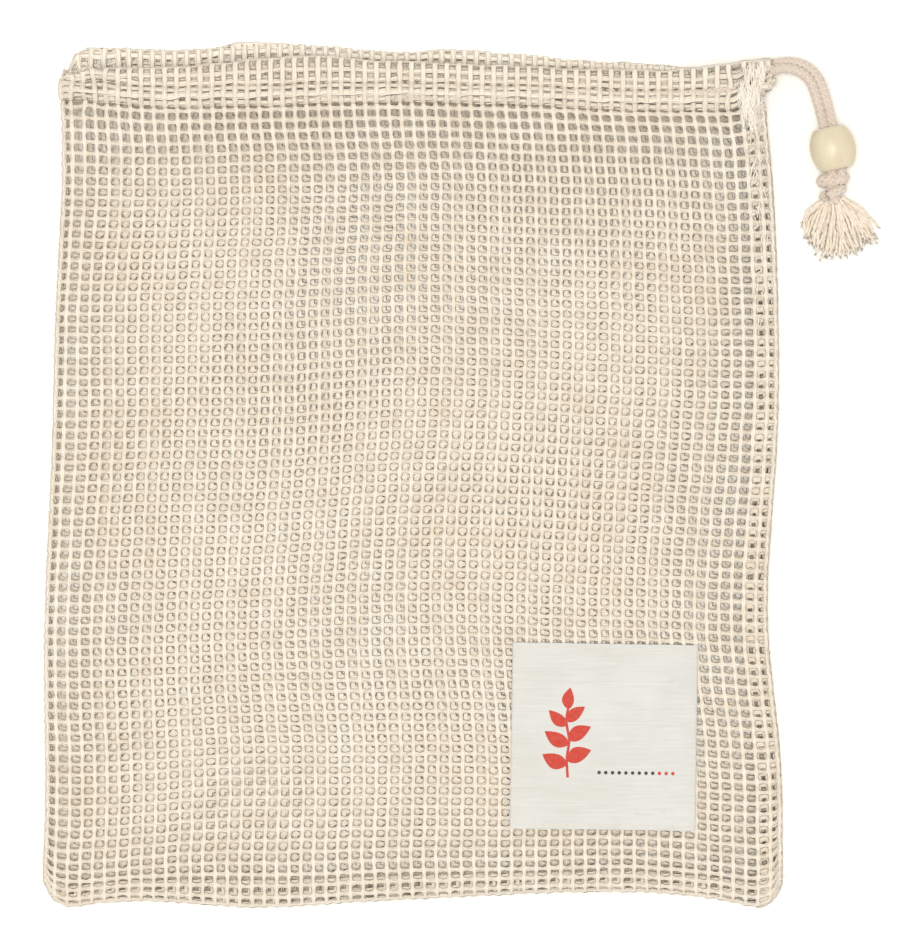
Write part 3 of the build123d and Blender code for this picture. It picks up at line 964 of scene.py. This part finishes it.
def hem(which, name, *nodes):
    """The casing and the frill above it, in the panel's own pillars and more cross yarns."""
    sign, cotton, _ = SIDES[which]
    own = np.random.default_rng(70 + sign)
    yarns = []
    for i in range(PILLARS):
        path = hem_line(which, (i + 0.5) / PILLARS)
        path[:, 0] += panel_point(which, (i + 0.5) / PILLARS, 1.0)[0] - path[0, 0]
        swell = HEM_WIDER * (1 + own.normal(0, 0.08, len(path)))
        outward = np.cross(unit(np.gradient(path, axis=0)), X_AXIS)
        path -= outward * sign * 0.28 * MM
        yarns.append((path, X_AXIS, PILLAR_HALF[0] * swell, PILLAR_HALF[1] * HEM_FLATTER))
    u = stations(PILLARS)
    lines = np.array([hem_line(which, share) for share in u])
    for index, (_, share, _, has_yarn) in enumerate(HEMS[which][0]):
        if not has_yarn:
            continue
        path = lines[:, index * HEM_STEPS]
        flat = unit(lines[:, index * HEM_STEPS + 1] - path)
        path = path + flat * MM * own.normal(0, 0.12, (len(u), 1))
        close = 1.3 if share == 0 else 1.0
        half_width = CROSS_HALF[0] * HEM_WIDER * close * (1 + own.normal(0, 0.10, len(u)))
        yarns.append((path, flat, half_width, CROSS_HALF[1] * HEM_FLATTER))
    cloth(yarn_piece(name, yarns, cotton, corners=YARN_SIDES, strips=True), "net", *nodes)


hem("front", "front_hem", "front_casing", "casing_turn", "casing_corner")
hem("back", "back_hem", "back_casing")


# ---- seam allowances inside

def turned_in(side, which, distance, along):
    """A point of the turned-in edge of a panel: how far it is from the seam and along it."""
    along = np.asarray(along, float)
    distance = np.asarray(distance, float)
    if side == "side":
        path = panel_point(which, 1 - distance / CLOTH_WIDTH, along)
    else:
        path = panel_point(which, along, distance / CLOTH_HEIGHT)
    path[:, 2] -= SIDES[which][0] * 1.05 * MM * np.clip(distance / (3 * MM), 0, 1)
    return path


def allowance(side, name, node):
    """The turned-in edges of both panels along a seam: a strip of net close under each."""
    own = np.random.default_rng(90 + len(side))
    yarns = []
    if side == "side":
        count, wider, across_it, along_it = ROWS, 1.6, X_AXIS, Y_AXIS
    else:
        count, wider, across_it, along_it = PILLARS, 1.0, Y_AXIS, X_AXIS
    fine = np.linspace(0.004, 0.996, 2 * count)
    for which in ("front", "back"):
        slant = -0.30 * SIDES[which][0]
        for distance in (2.6 * MM, 6.6 * MM, 10.4 * MM):
            path = turned_in(side, which, distance, fine)
            path = path + across_it * MM * own.normal(0, 0.12, (len(fine), 1))
            yarns.append((path, across_it, CROSS_HALF[0] * wider, CROSS_HALF[1]))
        for j in range(count):
            distance = np.linspace(0.3 * MM, 11.3 * MM, 8)
            at = (j + 0.5 + own.normal(0, 0.12) + slant * distance / (11 * MM)) / count
            path = turned_in(side, which, distance, np.clip(at, 0.003, 0.997))
            yarns.append((path, along_it, CROSS_HALF[0] * wider, CROSS_HALF[1]))
    piece = yarn_piece(name, yarns, NET, corners=YARN_SIDES)
    cloth(piece, "net", node)


def overlock(side, name, node, count):
    """The thread that binds a seam's raw edges: loops over and under them, and two straight lines."""
    turns = 2 * math.pi * np.linspace(0, count, count * 10 + 1)
    along = np.linspace(0.03, 0.97, len(turns))
    reach = (9.2 + 2.3 * np.cos(turns)) * MM
    over = (turned_in(side, "front", reach, along) + turned_in(side, "back", reach, along)) / 2
    over[:, 2] += 0.75 * MM * np.sin(turns)
    yarns = [(over, Z_AXIS, 0.24 * MM, 0.24 * MM)]
    for which in ("front", "back"):
        line = turned_in(side, which, np.full(len(turns), 6.9 * MM), along)
        line[:, 2] -= 0.7 * SIDES[which][0] * MM
        yarns.append((line, Z_AXIS, 0.22 * MM, 0.22 * MM))
    cloth(yarn_piece(name, yarns, THREAD, corners=4), "sewing_thread", node)


allowance("side", "side_seam_net", "side_seam")
allowance("bottom", "bottom_seam_net", "bottom_seam")
overlock("side", "side_overlock", "side_seam_thread", 110)
overlock("bottom", "bottom_overlock", "bottom_seam_thread", 100)


# ---- stitches

def stitches(path, length, gap, rise, radius):
    """A line of stitches along a path: each stands up from the cloth and dips into it at its ends."""
    along = distances(path)
    yarns = []
    for start in np.arange(gap / 2, along[-1] - length, length + gap):
        wanted = np.linspace(start, start + length, 7)
        points = np.stack([np.interp(wanted, along, path[:, k]) for k in range(3)], axis=1)
        points[:, 2] += rise * (np.sin(np.linspace(0, math.pi, 7)) ** 0.6 - 0.6)
        yarns.append((points, Z_AXIS, radius, radius))
    return yarns


def hem_stitches(which, name, node, places):
    """The casing's stitches, in lines that follow the hem's cloth at the places given."""
    shares = np.linspace(0.03, 0.93, 160)
    lines = np.array([hem_line(which, share) for share in shares])
    yarns = []
    for place, proud in places:
        path = lines[:, place * HEM_STEPS] + np.array((0, 0, proud * MM))
        yarns += stitches(path, 3.2 * MM, 0.9 * MM, 0.35 * MM, 0.24 * MM)
    cloth(yarn_piece(name, yarns, THREAD, corners=5), "sewing_thread", node)


hem_stitches("front", "front_casing_stitches", "front_casing_thread", ((0, 0.55), (4, 0.30)))
hem_stitches("back", "back_casing_stitches", "back_casing_thread", ((15, 0.45),))


# ---- the label

LABEL_LOW, LABEL_HIGH = (np.array(corner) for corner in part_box("label"))
LABEL_CENTRE = (LABEL_LOW + LABEL_HIGH) / 2
LABEL_TURN = math.radians(-0.9)
LABEL_HALF = (LABEL_HIGH - LABEL_LOW)[0] / 2 / (math.cos(LABEL_TURN) + abs(math.sin(LABEL_TURN)))
LABEL_THICK = 0.35 * MM
INK_PROUD = 0.05 * MM
WRINKLE = ripple(51, 0.10 * MM, 0.007, 0.022, 9)
PUCKER = ripple(52, 0.16 * MM, 0.004, 0.009, 9)


def label_point(s, t, proud=0.0):
    """A point of the label's top: s and t run from -1 to 1 across and up it."""
    s, t = np.broadcast_arrays(np.asarray(s, float), np.asarray(t, float))
    flat_x, flat_y = s * LABEL_HALF, t * LABEL_HALF
    x = LABEL_CENTRE[0] + flat_x * math.cos(LABEL_TURN) - flat_y * math.sin(LABEL_TURN)
    y = LABEL_CENTRE[1] + flat_x * math.sin(LABEL_TURN) + flat_y * math.cos(LABEL_TURN)
    edge = np.maximum(np.abs(s), np.abs(t))
    near = smoothstep((edge - 0.86) / 0.14)
    z = front_height(x, y) + 1.15 * MM + WRINKLE(0.45 * x, y) + near * (PUCKER(x, y) - 0.18 * MM)
    z = z + 0.02 * MM * np.sin(2 * math.pi * y / RIB + 2.5 * WRINKLE(0.3 * x, 0.6 * y) / (0.10 * MM))
    x = x + near * 0.25 * PUCKER(y, x)
    y = y + near * 0.25 * PUCKER(x, y)
    return np.stack([x, y, z + proud], axis=-1)


def grid_faces(rows, columns, base=0, flip=False):
    """Quads that join a grid of points."""
    i, j = np.meshgrid(np.arange(rows - 1), np.arange(columns - 1), indexing="ij")
    i, j = i.ravel(), j.ravel()
    quads = base + np.stack([i * columns + j, i * columns + j + 1,
                             (i + 1) * columns + j + 1, (i + 1) * columns + j], axis=1)
    return (quads[:, ::-1] if flip else quads).tolist()


def sheet_piece(name, top, thick, material):
    """A closed thin sheet under a grid of points."""
    rows, columns = top.shape[:2]
    low = top - thick * Z_AXIS
    count = rows * columns
    at = np.arange(count).reshape(rows, columns)
    rim = np.concatenate([at[0], at[1:, -1], at[-1, -2::-1], at[-2:0:-1, 0]]).tolist()
    faces = grid_faces(rows, columns) + grid_faces(rows, columns, count, flip=True)
    faces += [(b, a, a + count, b + count) for a, b in zip(rim, rim[1:] + rim[:1])]
    return mesh_piece(name, [top, low], faces, material)


def label():
    """The square of ribbed cotton, and the stitches that hold it all round."""
    t, s = np.meshgrid(np.linspace(-1, 1, 261), np.linspace(-1, 1, 71), indexing="ij")
    piece = sheet_piece("label_cloth", label_point(s, t), LABEL_THICK, label_cotton())
    cloth(piece, "label_cotton", "label")
    inner = 1 - 1.5 * MM / LABEL_HALF
    run = np.linspace(-inner, inner, 130)
    yarns = []
    for s, t in ((run, inner), (inner, -run), (-run, -inner), (-inner, run)):
        yarns += stitches(label_point(s, t), 2.3 * MM, 0.55 * MM, 0.22 * MM, 0.15 * MM)
    cloth(yarn_piece("label_stitches", yarns, THREAD, corners=5), "sewing_thread", "label_thread")
    return piece


def leaf(base, tip, width):
    """A pointed leaf between two places on the label (mm from its middle), as a grid of points."""
    base, tip = np.array(base), np.array(tip)
    side = np.array((-(tip - base)[1], (tip - base)[0])) / np.linalg.norm(tip - base)
    along, over = np.meshgrid(np.linspace(0, 1, 25), np.linspace(-1, 1, 9), indexing="ij")
    half = width / 2 * np.sin(math.pi * along ** 0.8) ** 0.9
    bow = 0.10 * width * np.sin(math.pi * along)
    return (base + (tip - base) * along[..., None] + side * (over * half + bow)[..., None])


def stroke(points, width):
    """A thin line through places on the label, as a grid of points."""
    path = through(np.array([(*p, 0.0) for p in points], float), 8)[:, :2]
    ahead = unit(np.gradient(path, axis=0))
    side = np.stack([-ahead[:, 1], ahead[:, 0]], axis=1)
    return path[:, None] + side[:, None] * (np.linspace(-0.5, 0.5, 3) * width)[None, :, None]


def dot(x, y, radius):
    """A filled disc, as a grid of points."""
    ring, turn = np.meshgrid(np.linspace(0.02, 1, 4), np.linspace(0, 2 * math.pi, 25), indexing="ij")
    return np.stack([x + radius * ring * np.cos(turn), y + radius * ring * np.sin(turn)], axis=-1)


def printed(name, shapes, material):
    """Ink shapes as thin films on the label."""
    vertices, faces, base = [], [], 0
    for shape in shapes:
        rows, columns = shape.shape[:2]
        s, t = shape[..., 0] * MM / LABEL_HALF, shape[..., 1] * MM / LABEL_HALF
        vertices.append(label_point(s, t, INK_PROUD))
        faces += grid_faces(rows, columns, base)
        base += rows * columns
    cloth(mesh_piece(name, vertices, faces, material), "label_cotton")


def sprig():
    """A plain leaf sprig in red, and a rule of dots beside it."""
    red = ink("red_ink", rgb(192, 62, 48), rgb(206, 112, 98))
    dark = ink("dark_ink", rgb(58, 52, 50), rgb(118, 110, 106))
    stem = [(-12.5, -14.5), (-12.9, -8.0), (-12.2, -1.5), (-13.2, 5.0), (-12.6, 10.5)]
    leaves = [((-12.9, -10.0), (-21.5, -6.5), 5.4), ((-12.8, -8.6), (-4.4, -4.8), 5.4),
              ((-12.3, -3.0), (-20.8, 1.6), 5.0), ((-12.4, -1.4), (-4.6, 3.4), 5.0),
              ((-13.0, 3.6), (-19.4, 9.0), 4.2), ((-12.9, 5.0), (-6.8, 10.4), 4.2),
              ((-12.7, 9.4), (-12.0, 17.0), 4.2)]
    printed("print_sprig", [stroke(stem, 0.9), *(leaf(*each) for each in leaves)], red)
    printed("print_dots", [dot(-1.5 + 2.35 * k, -12.6, 0.62) for k in range(9)], dark)
    printed("print_dots_red", [dot(19.65 + 2.35 * k, -12.6, 0.62) for k in range(3)], red)


label_sheet = label()
sprig()


# ---- loose fibres and frayed ends

NET_HAIRS = 3200
CORNER_FRAYS = 330  # at the corner by the drawstring
SEAM_FRAYS = 90  # down the seam
FIBRE_TOP = 13.4 * MM  # the net's stray fibres stand no higher


def net_fuzz():
    """Stray fibres that stand off the net, most on its front and its edges."""
    own = np.random.default_rng(101)
    hairs = []
    for _ in range(NET_HAIRS):
        which = "front" if own.random() < 0.8 else "back"
        u, v = own.random(2)
        if own.random() < 0.25:
            u = own.choice((0.004, 0.996))
        u = (math.floor(u * PILLARS) + 0.5) / PILLARS
        start = panel_point(which, u, v) + own.normal(0, 0.35, 3) * MM
        lean = own.normal(0, 1, 3) * (1, 1, 0.25) + 0.30 * SIDES[which][0] * Z_AXIS
        half = own.uniform(0.8, 2.6) * MM * 0.4
        points = hair(start, lean * half, own.normal(0, 0.6, 3) * (1, 1, 0.3) * half)
        points[:, 2] = np.clip(points[:, 2], 0.05 * MM, FIBRE_TOP)
        hairs.append((points, Z_AXIS, 0.03 * MM, 0.03 * MM))
    cloth(yarn_piece("net_fuzz", hairs, FRAY, corners=3), "net")


def frayed_seam():
    """The whitish ends of the net's yarns: thick on the corner, thin down the seam."""
    own = np.random.default_rng(111)
    yarns = []
    for k in range(CORNER_FRAYS + SEAM_FRAYS):
        if k < CORNER_FRAYS:
            y = 120.0 + 21.0 * own.random()
            edge = min(float(RIGHT(y * MM)) / MM + 0.4 + max(0.0, y - 131.0) * 0.35, 126.0)
            start = np.array((edge - 7.0 * own.random() ** 1.2, y, 0.0))
            ahead = np.array((own.normal(0.04, 0.16), 1.0, 0.0)) * own.uniform(3.0, 7.0)
        else:
            y = 128.0 - 75.0 * own.random() ** 1.6
            edge = float(RIGHT(y * MM)) / MM
            start = np.array((edge - own.uniform(0.5, 6.0), y, 0.0))
            ahead = np.array((own.normal(0, 0.2), 1.0, 0.0)) * own.uniform(-6.0, 6.0)
        end = start + ahead
        end[1] = min(end[1], 144.2)
        middle = (start + end) / 2 + np.array((own.normal(0, 0.6), own.normal(0, 0.4), 0.0))
        path = through(np.array([start, middle, end]) * MM, 7)
        x, y = path[:, 0], path[:, 1]
        on_hem = smoothstep((y - 0.1265) / 0.004)
        over_edge = smoothstep((x - RIGHT(y)) / WRAP_REACH + 0.6) * (climb(y) - BACK_Z) / 2
        panel_top = front_height(x, y) + 0.9 * MM - over_edge
        hem_top = (13.6 - 2.8 * corner_lift(x)) * MM
        cloth_top = panel_top + (hem_top - panel_top) * on_hem + own.uniform(-0.4, 0.6) * MM
        path[:, 2] = cloth_top + 0.4 * MM * np.sin(np.linspace(0, math.pi, len(path)))
        taper = np.linspace(1.0, 0.6, len(path)) * own.uniform(0.12, 0.36)
        yarns.append((path, X_AXIS, taper * MM, taper * MM))
    cloth(yarn_piece("frayed_seam", yarns, FRAY, corners=5), "net")


net_fuzz()
frayed_seam()
